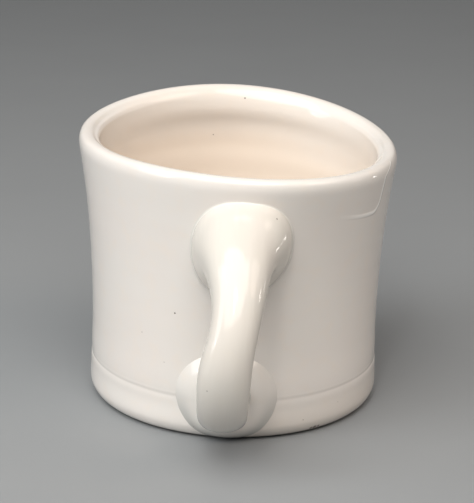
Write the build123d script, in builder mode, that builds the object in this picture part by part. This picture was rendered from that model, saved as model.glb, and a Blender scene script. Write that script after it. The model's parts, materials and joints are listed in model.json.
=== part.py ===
from build123d import *
import math
import os

# A hand-thrown shaving mug with one pulled handle, in millimetres.
# +Z is up, the origin is on the table under the cup's axis, and the handle points along -Y.

# Cup
RIM_RADIUS = 50.0  # outermost radius, at the lip
LIP_BASE_HEIGHT = 79.5  # where the wall ends and the rolled lip starts
LIP_BASE_RADIUS = 49.65
FOOT_HEIGHT = 13.0  # top of the foot band, where a soft step runs round the cup
WAIST_RADIUS = 45.95
FOOT_EASE = 0.3  # how much wider than the waist the wall starts, above the foot band
FOOT_EASE_HEIGHT = 12.0
FLARE_START = 21.0  # the wall flares above this height
FLARE_POWER = 2.3
WALL_LOFTS = 6  # how many lofted bands the wall is made of
WALL_THICKNESS = 4.8
FLOOR_THICKNESS = 4.6
COVE_RADIUS = 6.0  # inside corner between the floor and the wall
LEAN_START = 21.5  # the cup is straight below this height and leans above it
LEAN_RIGHT = 2.0  # degrees that the rim drops towards +X
LEAN_FRONT = 3.1  # degrees that the rim drops towards the handle

# Foot
RING_OUTER_RADIUS = 43.0
RING_INNER_RADIUS = 36.5
RING_HEIGHT = 2.4
BULGE_RADIUS = 46.6  # widest part of the foot band
BULGE_HEIGHT = 4.9
SHOULDER_INSET = 0.9  # the round edge under the bulge passes this far inside it
SHOULDER_HEIGHT = 2.2
RING_CHAMFER = 0.4
GLAZE_LINE = 0.5  # the glazed band stays this far above the table

# Lip
LIP_HEIGHT = 6.5
LIP_OUTER_WIDTH = 1.8  # from the outermost radius in to the crest
LIP_OUTER_DROP = 3.3  # from the crest down to the outermost point
LIP_WIDTH = 5.3  # from the outermost radius in to the crease
CREASE_DROP = 1.5
NOSE_WIDTH = 7.1  # from the outermost radius in to the nose, the innermost point
NOSE_DROP = 2.0  # from the crease down to the nose
WALL_SLANT = 0.12  # how far the lip moves out for each millimetre that it rises from the wall
NOSE_SLANT = 0.1

# Handle
ROOT_HEIGHT = 62.0
ROOT_WIDTH = 29.4
ROOT_DEPTH = 30.0  # up and down, at the wall
ROOT_SIDEWAYS = 1.7
TAIL_SIDEWAYS = -2.6
GRIP_WIDTH = 15.0
GRIP_THICKNESS = 11.5
TAIL_HEIGHT = 15.8
TAIL_WIDTH = 15.6
TAIL_THICKNESS = 12.2
# Each station is (out from the wall, height, sideways, width, thickness).
HANDLE_STATIONS = [
    (-5.0, ROOT_HEIGHT, ROOT_SIDEWAYS, ROOT_WIDTH, ROOT_DEPTH),
    (2.0, 62.3, ROOT_SIDEWAYS, 28.0, 28.0),
    (9.0, 62.6, ROOT_SIDEWAYS, 24.4, 22.0),
    (16.5, ROOT_HEIGHT, 1.5, 20.0, 16.5),
    (24.0, 57.5, 0.8, 16.4, 13.0),
    (30.0, 49.5, -0.4, GRIP_WIDTH, GRIP_THICKNESS),
    (32.2, 39.5, -1.6, GRIP_WIDTH, GRIP_THICKNESS),
    (31.0, 29.0, TAIL_SIDEWAYS, GRIP_WIDTH, GRIP_THICKNESS),
    (26.0, 20.5, TAIL_SIDEWAYS, 14.6, 11.2),
    (17.5, 16.6, TAIL_SIDEWAYS, 14.2, 11.0),
    (8.0, TAIL_HEIGHT, TAIL_SIDEWAYS, 15.0, 11.6),
    (-3.0, TAIL_HEIGHT, TAIL_SIDEWAYS, TAIL_WIDTH, TAIL_THICKNESS),
]

# Lower pad
PAD_WIDTH = 29.8
PAD_RISE = 28.2
PAD_HEIGHT = 14.4
PAD_SIDEWAYS = -1.7
PAD_THICKNESS = 2.8
PAD_EDGE_RADIUS = 1.1

# Seams of slip. Each loop is (out from the wall, how much wider than the handle's end).
ROOT_SEAM_WIDTH = 1.4
ROOT_SEAM_HEIGHT = 62.2
ROOT_SEAM_LOOPS = [(-5.0, ROOT_SEAM_WIDTH), (2.0, ROOT_SEAM_WIDTH), (4.2, -0.3)]
TAIL_SEAM_WIDTH = 1.0
TAIL_SEAM_LOOPS = [(0.0, TAIL_SEAM_WIDTH), (3.0, TAIL_SEAM_WIDTH), (4.6, -0.3)]


def lean_share(height):
    """How much of the full lean the cup has at this height, from 0 to 1."""
    return max(0.0, (height - LEAN_START) / (LIP_BASE_HEIGHT + LIP_HEIGHT - LEAN_START))


def leaning_plane(height):
    """The plane across the cup at this height, tilted and moved with the lean."""
    share = lean_share(height)
    right = math.radians(LEAN_RIGHT) * share
    front = math.radians(LEAN_FRONT) * share
    rise = height - LEAN_START
    centre = (right * rise / 2, -front * rise / 2, height)
    across = (math.cos(right), 0, -math.sin(right))
    back = (0, math.cos(front), math.sin(front))
    return Plane(origin=centre, x_dir=across, z_dir=Vector(across).cross(Vector(back)))


def wall_radius(height):
    """The waisted outer radius: narrowest a little above the foot, then flaring up to the lip."""
    foot_ease = FOOT_EASE * max(0.0, 1 - (height - FOOT_HEIGHT) / FOOT_EASE_HEIGHT)
    rise = max(0.0, height - FLARE_START) / (LIP_BASE_HEIGHT - FLARE_START)
    return WAIST_RADIUS + foot_ease + (LIP_BASE_RADIUS - WAIST_RADIUS) * rise**FLARE_POWER


WALL_STEP = (LIP_BASE_HEIGHT - FOOT_HEIGHT) / WALL_LOFTS
WALL_HEIGHTS = [FOOT_HEIGHT + WALL_STEP * step for step in range(WALL_LOFTS + 1)]
INNER_FOOT_RADIUS = wall_radius(FOOT_HEIGHT) - WALL_THICKNESS
FLOOR_TOP = RING_HEIGHT + FLOOR_THICKNESS

# The cup's outside as one plain solid, used only to trim what is pressed onto the wall
lip_plane = leaning_plane(LIP_BASE_HEIGHT)
with BuildPart() as cup_outside:
    for height in WALL_HEIGHTS:
        with BuildSketch(leaning_plane(height)):
            Circle(wall_radius(height))
    loft()
    with BuildSketch(lip_plane):
        Circle(LIP_BASE_RADIUS)
    extrude(amount=LIP_HEIGHT)
    with BuildSketch(Plane.XZ):
        with BuildLine():
            Line((0, 0), (RING_OUTER_RADIUS, 0))
            Line((RING_OUTER_RADIUS, 0), (RING_OUTER_RADIUS, GLAZE_LINE))
            ThreePointArc(
                (RING_OUTER_RADIUS, GLAZE_LINE),
                (BULGE_RADIUS - SHOULDER_INSET, SHOULDER_HEIGHT),
                (BULGE_RADIUS, BULGE_HEIGHT),
            )
            Line((BULGE_RADIUS, BULGE_HEIGHT), (wall_radius(FOOT_HEIGHT), FOOT_HEIGHT))
            Line((wall_radius(FOOT_HEIGHT), FOOT_HEIGHT), (0, FOOT_HEIGHT))
            Line((0, FOOT_HEIGHT), (0, 0))
        make_face()
    revolve(axis=Axis.Z)

# Thrown wall: a waisted tube that leans a little as it rises
with BuildPart() as thrown_wall:
    for height in WALL_HEIGHTS:
        with BuildSketch(leaning_plane(height)):
            Circle(wall_radius(height))
    loft()
    for height in WALL_HEIGHTS:
        with BuildSketch(leaning_plane(height)):
            Circle(wall_radius(height) - WALL_THICKNESS)
    loft(mode=Mode.SUBTRACT)

# Rolled lip: a thick bead with a round outer edge, a sloping crest and a nose that overhangs
lip_section = Plane(origin=lip_plane.origin, x_dir=lip_plane.x_dir, z_dir=-lip_plane.y_dir)
LIP_BASE_INNER = LIP_BASE_RADIUS - WALL_THICKNESS
with BuildPart() as rolled_lip:
    with BuildSketch(lip_section):
        with BuildLine():
            Line((LIP_BASE_INNER, 0), (LIP_BASE_RADIUS, 0))
            Spline(
                (LIP_BASE_RADIUS, 0),
                (RIM_RADIUS, LIP_HEIGHT - LIP_OUTER_DROP),
                (RIM_RADIUS - LIP_OUTER_WIDTH, LIP_HEIGHT),
                tangents=((WALL_SLANT, 1), (-1, 0)),
            )
            Line(
                (RIM_RADIUS - LIP_OUTER_WIDTH, LIP_HEIGHT),
                (RIM_RADIUS - LIP_WIDTH, LIP_HEIGHT - CREASE_DROP),
            )
            Spline(
                (RIM_RADIUS - LIP_WIDTH, LIP_HEIGHT - CREASE_DROP),
                (RIM_RADIUS - NOSE_WIDTH, LIP_HEIGHT - CREASE_DROP - NOSE_DROP),
                (LIP_BASE_INNER, 0),
                tangents=((-1, NOSE_SLANT), (NOSE_SLANT, -1)),
            )
        make_face()
    revolve(axis=Axis(lip_plane.origin, lip_plane.z_dir))

# Foot band: the widest part of the foot, round underneath, with the cove inside
with BuildPart() as foot_band:
    with BuildSketch(Plane.XZ):
        with BuildLine():
            Line((RING_OUTER_RADIUS, RING_HEIGHT), (RING_OUTER_RADIUS, GLAZE_LINE))
            ThreePointArc(
                (RING_OUTER_RADIUS, GLAZE_LINE),
                (BULGE_RADIUS - SHOULDER_INSET, SHOULDER_HEIGHT),
                (BULGE_RADIUS, BULGE_HEIGHT),
            )
            Line((BULGE_RADIUS, BULGE_HEIGHT), (wall_radius(FOOT_HEIGHT), FOOT_HEIGHT))
            Line((wall_radius(FOOT_HEIGHT), FOOT_HEIGHT), (INNER_FOOT_RADIUS, FOOT_HEIGHT))
            RadiusArc(
                (INNER_FOOT_RADIUS, FOOT_HEIGHT),
                (INNER_FOOT_RADIUS - COVE_RADIUS, FOOT_HEIGHT - COVE_RADIUS),
                COVE_RADIUS,
            )
            Line(
                (INNER_FOOT_RADIUS - COVE_RADIUS, FOOT_HEIGHT - COVE_RADIUS),
                (INNER_FOOT_RADIUS - COVE_RADIUS, RING_HEIGHT),
            )
            Line((INNER_FOOT_RADIUS - COVE_RADIUS, RING_HEIGHT), (RING_OUTER_RADIUS, RING_HEIGHT))
        make_face()
    revolve(axis=Axis.Z)

# Cup floor: the disc inside the foot band
with BuildPart() as cup_floor:
    with BuildSketch(Plane.XY.offset(RING_HEIGHT)):
        Circle(INNER_FOOT_RADIUS - COVE_RADIUS)
    extrude(amount=FLOOR_TOP - RING_HEIGHT)

# Foot ring: bare clay, trimmed flat, that the mug stands on
with BuildPart() as foot_ring:
    with BuildSketch(Plane.XY):
        Circle(RING_OUTER_RADIUS)
        Circle(RING_INNER_RADIUS, mode=Mode.SUBTRACT)
    extrude(amount=RING_HEIGHT)
    chamfer(foot_ring.faces().sort_by(Axis.Z)[0].edges(), length=RING_CHAMFER)

# Lower pad: a round of clay pressed onto the wall, as thick all over as its own edge
with BuildPart() as lower_pad:
    with BuildSketch(Plane.XY):
        Circle(BULGE_RADIUS + PAD_THICKNESS)
    extrude(amount=PAD_HEIGHT + PAD_RISE)
    with BuildSketch(Plane.XZ):
        with Locations((PAD_SIDEWAYS, PAD_HEIGHT)):
            Ellipse(PAD_WIDTH / 2, PAD_RISE / 2)
    extrude(amount=2 * RIM_RADIUS, mode=Mode.INTERSECT)
    fillet(lower_pad.faces().sort_by(Axis.Y)[0].edges(), radius=PAD_EDGE_RADIUS)
    add(cup_outside.part, mode=Mode.SUBTRACT)

# Handle: a wide root on the wall, a neck, a grip that hangs down and a tail on the pad
centre_points = [(side, -(WAIST_RADIUS + out), up) for out, up, side, _, _ in HANDLE_STATIONS]
centre_line = Spline(*centre_points, tangents=((0, -1, 0), (0, 1, 0)))
with BuildPart() as handle:
    for point, (_, _, _, width, thickness) in zip(centre_points, HANDLE_STATIONS):
        direction = centre_line % centre_line.param_at_point(Vector(*point))
        with BuildSketch(Plane(origin=point, x_dir=(1, 0, 0), z_dir=direction)):
            Ellipse(width / 2, thickness / 2)
    loft()
    add(cup_outside.part, mode=Mode.SUBTRACT)
    add(rolled_lip.part, mode=Mode.SUBTRACT)
    add(lower_pad.part, mode=Mode.SUBTRACT)

# Root seam: slip smoothed round the root, where the handle meets the wall
with BuildPart() as root_seam:
    for out, margin in ROOT_SEAM_LOOPS:
        seam_centre = (ROOT_SIDEWAYS, -(WAIST_RADIUS + out), ROOT_SEAM_HEIGHT)
        with BuildSketch(Plane(origin=seam_centre, x_dir=(1, 0, 0), z_dir=(0, -1, 0))):
            Ellipse(ROOT_WIDTH / 2 + margin, ROOT_DEPTH / 2 + margin)
    loft(ruled=True)
    add(cup_outside.part, mode=Mode.SUBTRACT)
    add(rolled_lip.part, mode=Mode.SUBTRACT)
    add(handle.part, mode=Mode.SUBTRACT)

# Tail seam: slip smoothed round the tail, where it is pressed onto the pad
with BuildPart() as tail_seam:
    for out, margin in TAIL_SEAM_LOOPS:
        seam_centre = (TAIL_SIDEWAYS, -(WAIST_RADIUS + out), TAIL_HEIGHT)
        with BuildSketch(Plane(origin=seam_centre, x_dir=(1, 0, 0), z_dir=(0, -1, 0))):
            Ellipse(TAIL_WIDTH / 2 + margin, TAIL_THICKNESS / 2 + margin)
    loft(ruled=True)
    add(cup_outside.part, mode=Mode.SUBTRACT)
    add(lower_pad.part, mode=Mode.SUBTRACT)
    add(handle.part, mode=Mode.SUBTRACT)

# Labels and files
thrown_wall.part.label = "thrown_wall"
rolled_lip.part.label = "rolled_lip"
foot_band.part.label = "foot_band"
cup_floor.part.label = "cup_floor"
foot_ring.part.label = "foot_ring"
handle.part.label = "handle"
lower_pad.part.label = "lower_pad"
root_seam.part.label = "root_seam"
tail_seam.part.label = "tail_seam"
os.makedirs("parts", exist_ok=True)
export_step(thrown_wall.part, "parts/thrown_wall.step")
export_step(rolled_lip.part, "parts/rolled_lip.step")
export_step(foot_band.part, "parts/foot_band.step")
export_step(cup_floor.part, "parts/cup_floor.step")
export_step(foot_ring.part, "parts/foot_ring.step")
export_step(handle.part, "parts/handle.step")
export_step(lower_pad.part, "parts/lower_pad.step")
export_step(root_seam.part, "parts/root_seam.step")
export_step(tail_seam.part, "parts/tail_seam.step")
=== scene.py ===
"""A hand-thrown shaving mug: a white-glazed cup with a rolled lip and one pulled handle.

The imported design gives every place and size. The clay is modelled in
millimetres, piece by piece, and is scaled to metres as it is handed over.
"""

import sys
import json
import logging
import math
from collections.abc import Callable, Iterator, Sequence
from contextlib import contextmanager
from dataclasses import dataclass, field
from enum import Enum

import bmesh
import bpy
import numpy as np
from mathutils import Matrix, Vector
from mathutils.bvhtree import BVHTree

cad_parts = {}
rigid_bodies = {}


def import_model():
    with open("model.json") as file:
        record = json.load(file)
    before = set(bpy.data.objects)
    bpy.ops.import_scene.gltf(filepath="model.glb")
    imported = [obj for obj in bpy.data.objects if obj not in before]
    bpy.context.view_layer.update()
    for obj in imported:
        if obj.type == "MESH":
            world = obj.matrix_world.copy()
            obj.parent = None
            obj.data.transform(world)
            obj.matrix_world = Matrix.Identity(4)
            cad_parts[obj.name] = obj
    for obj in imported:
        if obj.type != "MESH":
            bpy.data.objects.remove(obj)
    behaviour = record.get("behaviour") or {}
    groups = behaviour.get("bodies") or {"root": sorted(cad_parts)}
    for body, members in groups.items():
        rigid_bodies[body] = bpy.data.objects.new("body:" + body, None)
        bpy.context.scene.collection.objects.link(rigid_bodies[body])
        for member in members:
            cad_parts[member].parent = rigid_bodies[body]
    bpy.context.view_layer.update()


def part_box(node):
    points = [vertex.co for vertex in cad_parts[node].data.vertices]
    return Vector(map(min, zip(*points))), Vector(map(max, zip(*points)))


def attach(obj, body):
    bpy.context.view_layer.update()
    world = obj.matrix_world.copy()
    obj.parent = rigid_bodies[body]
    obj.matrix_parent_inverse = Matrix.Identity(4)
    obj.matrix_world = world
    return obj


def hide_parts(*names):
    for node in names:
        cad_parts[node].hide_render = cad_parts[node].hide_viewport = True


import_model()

MM = 0.001
BODY = "root"
ACROSS = Vector((1, 0, 0))

log = logging.getLogger("mug")

# Where the wall is narrowest, before the cup slumps, in millimetres.
WAIST_RADIUS = 45.95

Outline = list[tuple[float, float]]
Colour = tuple[float, float, float]


# ---------------------------------------------------------------- measuring


@dataclass(frozen=True)
class NodeBox:
    """The box of one node of the design, in millimetres."""

    low: Vector
    high: Vector

    @classmethod
    def of(cls, node: str) -> "NodeBox":
        """Reads the box of a node."""
        low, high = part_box(node)
        return cls(low / MM, high / MM)

    @property
    def width(self) -> float:
        """How far the node reaches from left to right."""
        return self.high.x - self.low.x

    @property
    def rise(self) -> float:
        """How far the node reaches from bottom to top."""
        return self.high.z - self.low.z

    @property
    def centre(self) -> Vector:
        """The middle of the node."""
        return (self.low + self.high) / 2


def smooth_step(value: float, start: float, end: float) -> float:
    """Fades from 0 to 1 with no corner at either end."""
    share = min(max((value - start) / (end - start), 0.0), 1.0)
    return share * share * (3 - 2 * share)


def tighten(outline: Outline) -> Outline:
    """Pushes each point out by a third of its bend, so that the rounded form passes through it.

    Args:
        outline: (radius, height) of each wanted point.

    Returns:
        The outline to turn before it is rounded.
    """
    inner = [
        tuple(here + (here - (before + after) / 2) / 3 for before, here, after in zip(*near))
        for near in zip(outline, outline[1:], outline[2:])
    ]
    return [outline[0], *inner, outline[-1]]


# ---------------------------------------------------------------- modelling


def pick(piece: bpy.types.Object) -> None:
    """Makes a piece the only selected object and the active one.

    Args:
        piece: the object to work on.
    """
    bpy.ops.object.select_all(action="DESELECT")
    piece.select_set(True)
    bpy.context.view_layer.objects.active = piece


@contextmanager
def editing(piece: bpy.types.Object, mode: str = "VERT") -> Iterator[None]:
    """Opens a piece in edit mode with nothing selected, and closes it again.

    Args:
        piece: the object to edit.
        mode: what is selected, VERT, EDGE or FACE.

    Yields:
        Nothing; the operators act on the open piece.
    """
    pick(piece)
    bpy.ops.object.mode_set(mode="EDIT")
    bpy.ops.mesh.select_mode(type=mode)
    bpy.ops.mesh.select_all(action="DESELECT")
    yield
    bpy.ops.object.mode_set(mode="OBJECT")


def select_edges(piece: bpy.types.Object, test: Callable[[bmesh.types.BMEdge], bool]) -> None:
    """Selects the edges of an open piece that pass a test, and only those.

    Args:
        piece: the object being edited.
        test: says whether an edge is wanted.
    """
    mesh = bmesh.from_edit_mesh(piece.data)
    for edge in mesh.edges:
        edge.select_set(test(edge))
    bmesh.update_edit_mesh(piece.data)


def subdivide(piece: bpy.types.Object, levels: int) -> None:
    """Rounds a piece with an applied subdivision surface.

    Args:
        piece: the object to round.
        levels: how many times each face is divided.
    """
    pick(piece)
    surface = piece.modifiers.new("round", "SUBSURF")
    surface.levels = levels
    surface.render_levels = levels
    bpy.ops.object.modifier_apply(modifier=surface.name)


def face_outwards(piece: bpy.types.Object, doubled: float = 0.0005) -> None:
    """Merges doubled points of a closed piece and turns every face outwards.

    Args:
        piece: the object to tidy.
        doubled: how close two points are to count as one, in millimetres.
    """
    with editing(piece):
        bpy.ops.mesh.select_all(action="SELECT")
        bpy.ops.mesh.remove_doubles(threshold=doubled)
        bpy.ops.mesh.normals_make_consistent(inside=False)


def smooth(piece: bpy.types.Object, angle: float = 40.0) -> None:
    """Shades a piece smoothly, keeping the edges sharper than an angle."""
    pick(piece)
    bpy.ops.object.shade_smooth_by_angle(angle=math.radians(angle))


def points_of(piece: bpy.types.Object) -> np.ndarray:
    """Reads the points of a mesh.

    Args:
        piece: the object whose mesh is read.

    Returns:
        Rows of x, y and z.
    """
    flat = np.empty(len(piece.data.vertices) * 3)
    piece.data.vertices.foreach_get("co", flat)
    return flat.reshape(-1, 3)


def put_points(piece: bpy.types.Object, points: np.ndarray) -> None:
    """Writes the points of a mesh from rows of x, y and z."""
    piece.data.vertices.foreach_set("co", points.ravel())
    piece.data.update()


class Turning:
    """A round form raised ring by ring from a disc at its centre, as clay is on the wheel."""

    def __init__(self, name: str, sides: int, outline: Outline) -> None:
        """Turns a closed form.

        Args:
            name: the piece's name.
            sides: how many points each ring has.
            outline: (radius, height) of each ring, from one centre to the other.
        """
        radius, height = outline[0]
        bpy.ops.object.select_all(action="DESELECT")
        bpy.ops.mesh.primitive_circle_add(
            vertices=sides, radius=radius, fill_type="NGON", location=(0, 0, height)
        )
        self.piece = bpy.context.object
        self.piece.name = name
        bpy.ops.object.transform_apply(location=True, rotation=True, scale=True)
        with editing(self.piece):
            bpy.ops.mesh.select_all(action="SELECT")
            for next_radius, next_height in outline[1:]:
                bpy.ops.mesh.extrude_region_move(
                    TRANSFORM_OT_translate={"value": (0, 0, next_height - height)}
                )
                grow = next_radius / radius
                bpy.ops.transform.resize(
                    value=(grow, grow, 1), center_override=(0, 0, next_height)
                )
                radius, height = next_radius, next_height


class Sleeve:
    """A form grown ring by ring: each ring is extruded from the last and set in its place."""

    def __init__(self, name: str, rings: Sequence[Sequence[Vector]], hollow: bool = False) -> None:
        """Grows a closed form.

        Args:
            name: the piece's name.
            rings: the points of each ring, in the same order round every ring.
            hollow: whether the last ring joins the first, as round a hoop, with no end caps.
        """
        fill = "NOTHING" if hollow else "NGON"
        bpy.ops.object.select_all(action="DESELECT")
        bpy.ops.mesh.primitive_circle_add(vertices=len(rings[0]), radius=1, fill_type=fill)
        self.piece = bpy.context.object
        self.piece.name = name
        for vertex, place in zip(self.piece.data.vertices, rings[0]):
            vertex.co = place
        with editing(self.piece):
            bpy.ops.mesh.select_all(action="SELECT")
            last = rings[0]
            for ring in [*rings[1:], rings[0]] if hollow else rings[1:]:
                bpy.ops.mesh.extrude_region_move()
                self._set_ring(last, ring)
                last = ring
        face_outwards(self.piece)

    def _set_ring(self, last: Sequence[Vector], ring: Sequence[Vector]) -> None:
        """Moves the newly extruded ring, which still lies on the last one, to its place.

        Args:
            last: where the ring's points lie now.
            ring: where they go.
        """
        mesh = bmesh.from_edit_mesh(self.piece.data)
        for vertex in mesh.verts:
            if vertex.select:
                nearest = min(range(len(last)), key=lambda i: (vertex.co - last[i]).length_squared)
                vertex.co = ring[nearest]
        bmesh.update_edit_mesh(self.piece.data)


class Surface:
    """The skin of a finished form, which other clay is pressed onto."""

    far = -200.0

    def __init__(self, piece: bpy.types.Object) -> None:
        """Keeps a copy of a piece's faces."""
        corners = [vertex.co.copy() for vertex in piece.data.vertices]
        self.tree = BVHTree.FromPolygons(corners, [p.vertices[:] for p in piece.data.polygons])

    def front(self, x: float, z: float) -> float:
        """Finds how far forward the surface stands at a place."""
        hit = self.tree.ray_cast(Vector((x, self.far, z)), Vector((0, 1, 0)))[0]
        return hit.y if hit else 0.0

    def side(self, centre: Vector, outward: Vector, reach: float) -> float:
        """Finds how far the surface stands from a centre, coming from outside."""
        hit = self.tree.ray_cast(centre + outward * reach, -outward)[0]
        return (hit - centre).length if hit else 0.0


# ---------------------------------------------------------------- finishes


class Signal:
    """A shader socket that can be used in sums and products."""

    def __init__(self, paint: "Paintbox", socket: bpy.types.NodeSocket) -> None:
        """Wraps an output socket of a material's nodes."""
        self.paint = paint
        self.socket = socket

    def math(self, operation: str, *others: "Signal | float", flipped: bool = False) -> "Signal":
        """Adds one Math node.

        Args:
            operation: the node's operation.
            others: the other values it takes.
            flipped: whether this signal comes second.

        Returns:
            The node's result.
        """
        values = [self, *others]
        if flipped:
            values.reverse()
        node = self.paint.add("ShaderNodeMath", {"operation": operation}, dict(enumerate(values)))
        return Signal(self.paint, node.outputs[0])

    def __add__(self, other: "Signal | float") -> "Signal":
        """Sum."""
        return self.math("ADD", other)

    def __radd__(self, other: float) -> "Signal":
        """Sum with a number first."""
        return self.math("ADD", other, flipped=True)

    def __sub__(self, other: "Signal | float") -> "Signal":
        """Difference."""
        return self.math("SUBTRACT", other)

    def __rsub__(self, other: float) -> "Signal":
        """Difference from a number."""
        return self.math("SUBTRACT", other, flipped=True)

    def __mul__(self, other: "Signal | float") -> "Signal":
        """Product."""
        return self.math("MULTIPLY", other)

    def fade(self, start: float, end: float) -> "Signal":
        """Turns the signal into a smooth mask from 0 at start to 1 at end.

        Args:
            start: the value where the mask is 0.
            end: the value where the mask is 1.

        Returns:
            The mask.
        """
        node = self.paint.add(
            "ShaderNodeMapRange",
            {"interpolation_type": "SMOOTHSTEP"},
            {"Value": self, "From Min": start, "From Max": end},
        )
        return Signal(self.paint, node.outputs[0])


class Paintbox:
    """One material's nodes, with a method for each thing a finish is mixed from."""

    def __init__(self, name: str) -> None:
        """Starts an empty material.

        Args:
            name: the material's name.
        """
        self.material = bpy.data.materials.new(name)
        self.material.use_nodes = True
        self.nodes = self.material.node_tree.nodes
        self.links = self.material.node_tree.links
        self.nodes.clear()
        where = self.add("ShaderNodeTexCoord").outputs["Object"]
        scaled = self.add(
            "ShaderNodeVectorMath", {"operation": "SCALE"}, {0: where, "Scale": 1 / MM}
        )
        self.place = scaled.outputs[0]
        parts = self.add("ShaderNodeSeparateXYZ", inputs={0: self.place}).outputs
        self.x, self.y, self.z = (Signal(self, part) for part in parts)
        self.radius = self.length(self.x, self.y)

    def add(
        self,
        kind: str,
        settings: dict[str, object] | None = None,
        inputs: dict[str | int, object] | None = None,
    ) -> bpy.types.Node:
        """Adds any node.

        Args:
            kind: the node's type.
            settings: its properties, set first.
            inputs: the values or links of its sockets, by name or number.

        Returns:
            The node.
        """
        node = self.nodes.new(kind)
        for key, value in (settings or {}).items():
            setattr(node, key, value)
        for key, value in (inputs or {}).items():
            if isinstance(value, Signal):
                value = value.socket
            if isinstance(value, bpy.types.NodeSocket):
                self.links.new(value, node.inputs[key])
            else:
                node.inputs[key].default_value = value
        return node

    @staticmethod
    def length(across: Signal, along: Signal) -> Signal:
        """Measures the long side of a right angle with two given sides."""
        return (across * across + along * along).math("SQRT")

    def noise(self, size: float, detail: float = 2.0, stretch: Colour = (1, 1, 1)) -> Signal:
        """Adds a soft random pattern.

        Args:
            size: the size of its patches, in millimetres.
            detail: how many finer layers it has.
            stretch: how much closer the patches lie along x, y and z.

        Returns:
            A signal between 0 and 1.
        """
        moved = self.add(
            "ShaderNodeVectorMath", {"operation": "MULTIPLY"}, {0: self.place, 1: stretch}
        )
        node = self.add(
            "ShaderNodeTexNoise",
            inputs={"Vector": moved.outputs[0], "Scale": 1 / size, "Detail": detail},
        )
        return Signal(self, node.outputs["Fac"])

    def cells(self, size: float) -> tuple[Signal, Signal]:
        """Adds randomly placed points.

        Args:
            size: the usual distance between points, in millimetres.

        Returns:
            The distance to the nearest point in millimetres, and its own random number.
        """
        node = self.add("ShaderNodeTexVoronoi", inputs={"Vector": self.place, "Scale": 1 / size})
        parts = self.add("ShaderNodeSeparateColor", inputs={0: node.outputs["Color"]})
        return Signal(self, node.outputs["Distance"]) * size, Signal(self, parts.outputs[0])

    def distance(self, spot: Colour) -> Signal:
        """Measures the distance from a spot, in millimetres."""
        node = self.add("ShaderNodeVectorMath", {"operation": "DISTANCE"}, {0: self.place, 1: spot})
        return Signal(self, node.outputs["Value"])

    def blend(self, share: Signal, under: object, over: object) -> bpy.types.NodeSocket:
        """Mixes two colours.

        Args:
            share: how much of the second colour shows.
            under: the first colour or socket.
            over: the second colour or socket.

        Returns:
            The mixed colour's socket.
        """
        under = (*under, 1) if isinstance(under, tuple) else under
        over = (*over, 1) if isinstance(over, tuple) else over
        node = self.add("ShaderNodeMix", {"data_type": "RGBA"}, {0: share, 6: under, 7: over})
        return node.outputs[2]

    def bump(self, relief: Signal) -> bpy.types.NodeSocket:
        """Adds relief to the surface."""
        inputs = {"Strength": 1.0, "Distance": MM, "Height": relief}
        return self.add("ShaderNodeBump", inputs=inputs).outputs[0]

    def finish(self, inputs: dict[str | int, object]) -> bpy.types.Material:
        """Ends the material with its surface shader.

        Args:
            inputs: the shader's values and links.

        Returns:
            The finished material.
        """
        shader = self.add("ShaderNodeBsdfPrincipled", inputs=inputs)
        self.add("ShaderNodeOutputMaterial", inputs={"Surface": shader.outputs[0]})
        return self.material


@dataclass(frozen=True)
class Scatter:
    """Small round marks scattered at random, in millimetres.

    The luck is the random number, from 0 to 1, that a place needs before it gets a mark.
    """

    spacing: float
    core: float
    edge: float
    luck: float
    luck_width: float = 0.05

    def mask(self, paint: Paintbox) -> tuple[Signal, Signal]:
        """Scatters the marks.

        Args:
            paint: the material being mixed.

        Returns:
            A mask that is 1 in the middle of a mark, and the random number of each place.
        """
        distance, luck = paint.cells(self.spacing)
        chosen = luck.fade(self.luck, self.luck + self.luck_width)
        return (1 - distance.fade(self.core, self.edge)) * chosen, luck


@dataclass(frozen=True)
class Speck:
    """A spot of iron that burnt through the glaze, in millimetres."""

    place: Colour
    size: float
    depth: float
    core: float = 0.45

    def mask(self, paint: Paintbox) -> Signal:
        """Finds the speck: its depth within the core, fading to nothing at its size."""
        away = paint.distance(self.place)
        return (1 - away.fade(self.size * self.core, self.size)) * self.depth


SPECKS = (
    Speck((-17.8, -42.6, 40.0), 0.36, 0.95),
    Speck((-28.0, -36.5, 31.3), 0.26, 0.45),
    Speck((-20.9, -40.9, 23.4), 0.24, 0.40),
    Speck((1.65, 41.6, 86.6), 0.42, 0.70),
    Speck((33.1, -32.6, 8.3), 0.28, 0.50),
    Speck((22.1, -41.0, 5.6), 0.28, 0.50),
    Speck((24.7, -38.3, 1.8), 0.80, 0.75),
    Speck((25.8, -37.6, 1.9), 0.90, 0.85),
    Speck((26.9, -36.8, 2.0), 0.70, 0.70),
)
HANDLE_SPECKS = (
    Speck((11.65, -53.7, 73.95), 0.36, 0.70),
    Speck((-7.0, -81.7, 31.4), 0.30, 0.50),
)

ROOT_SLIP: Colour = (0.730, 0.705, 0.660)
# painted shade: the tail's fillet is dark grey, standing in for contact shade in the join with the
# pad
TAIL_SEAM_SHADE: Colour = (0.540, 0.535, 0.505)
PAD_WHITE: Colour = (0.778, 0.748, 0.704)
# painted shade: the handle's colours are a darker copy of the body's glaze, toned down where the
# lamps light the handle strongly
HANDLE_SHADED_WHITE: Colour = (0.705, 0.672, 0.615)
HANDLE_SHADED_CREAM: Colour = (0.735, 0.685, 0.605)
HANDLE_SHADED_BLUSH: Colour = (0.730, 0.670, 0.612)


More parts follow.
